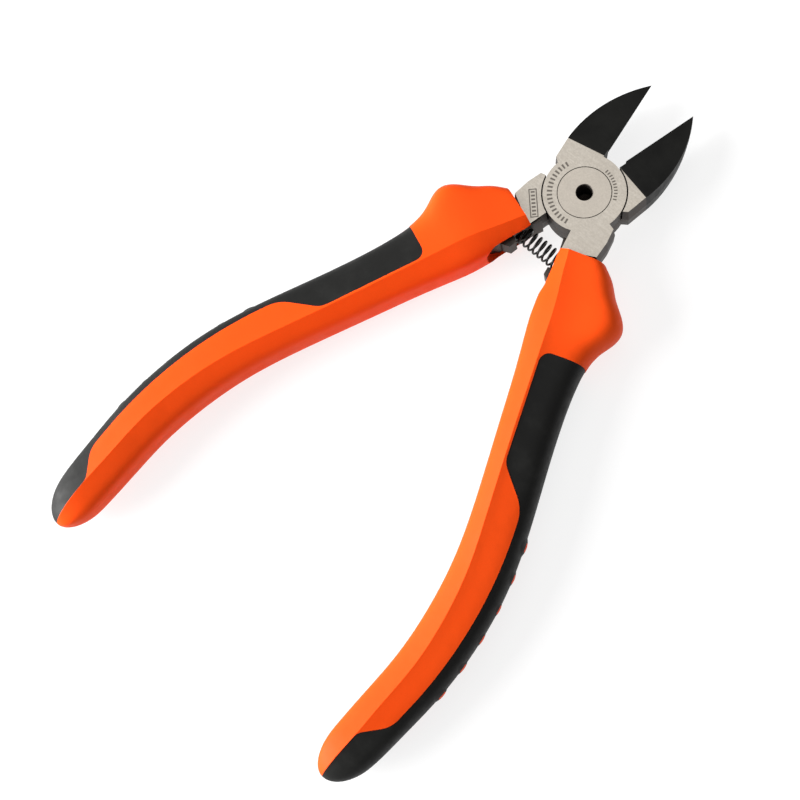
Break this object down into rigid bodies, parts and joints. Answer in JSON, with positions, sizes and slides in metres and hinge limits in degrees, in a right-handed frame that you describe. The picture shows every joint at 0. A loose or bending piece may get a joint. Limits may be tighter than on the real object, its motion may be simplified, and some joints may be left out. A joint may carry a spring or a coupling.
{
  "type": "diagonal cutting pliers",
  "caption": "Wire cutter: crossed forged levers on a flush rivet, flush-ground cutting jaws, coil return spring between the tangs, curved hard grips with soft inlay and finger guards.",
  "frame": {"origin": "on the pivot axis, half way through the thickness of the head", "axes": "+Y towards the jaws, +X to the right seen from above, +Z along the pivot axis out of the face with the flush cutting plane"},
  "size_m": [0.0932, 0.155, 0.0124],
  "materials": {
    "forged_steel": "satin ground faces, dark forged sides, blackened jaws",
    "rivet_steel": "satin",
    "spring_steel": "black oxide",
    "hard_grip": "semi gloss orange",
    "soft_grip": "matte black"
  },
  "bodies": {
    "lower_arm": {"lower_lever": "forged_steel", "left_grip_shell": "hard_grip", "left_grip_inlay": "soft_grip", "pivot_rivet": "rivet_steel", "return_spring": "spring_steel"},
    "upper_arm": {"upper_lever": "forged_steel", "right_grip_shell": "hard_grip", "right_grip_inlay": "soft_grip"}
  },
  "joints": [
    {"name": "pivot", "type": "hinge", "parent": "lower_arm", "child": "upper_arm", "pos_m": [0, 0, 0], "axis": [0, 0, 1], "range_deg": [-22.35, 20], "stiffness_Nm_per_rad": 0.2, "deforming": ["return_spring"]}
  ]
}
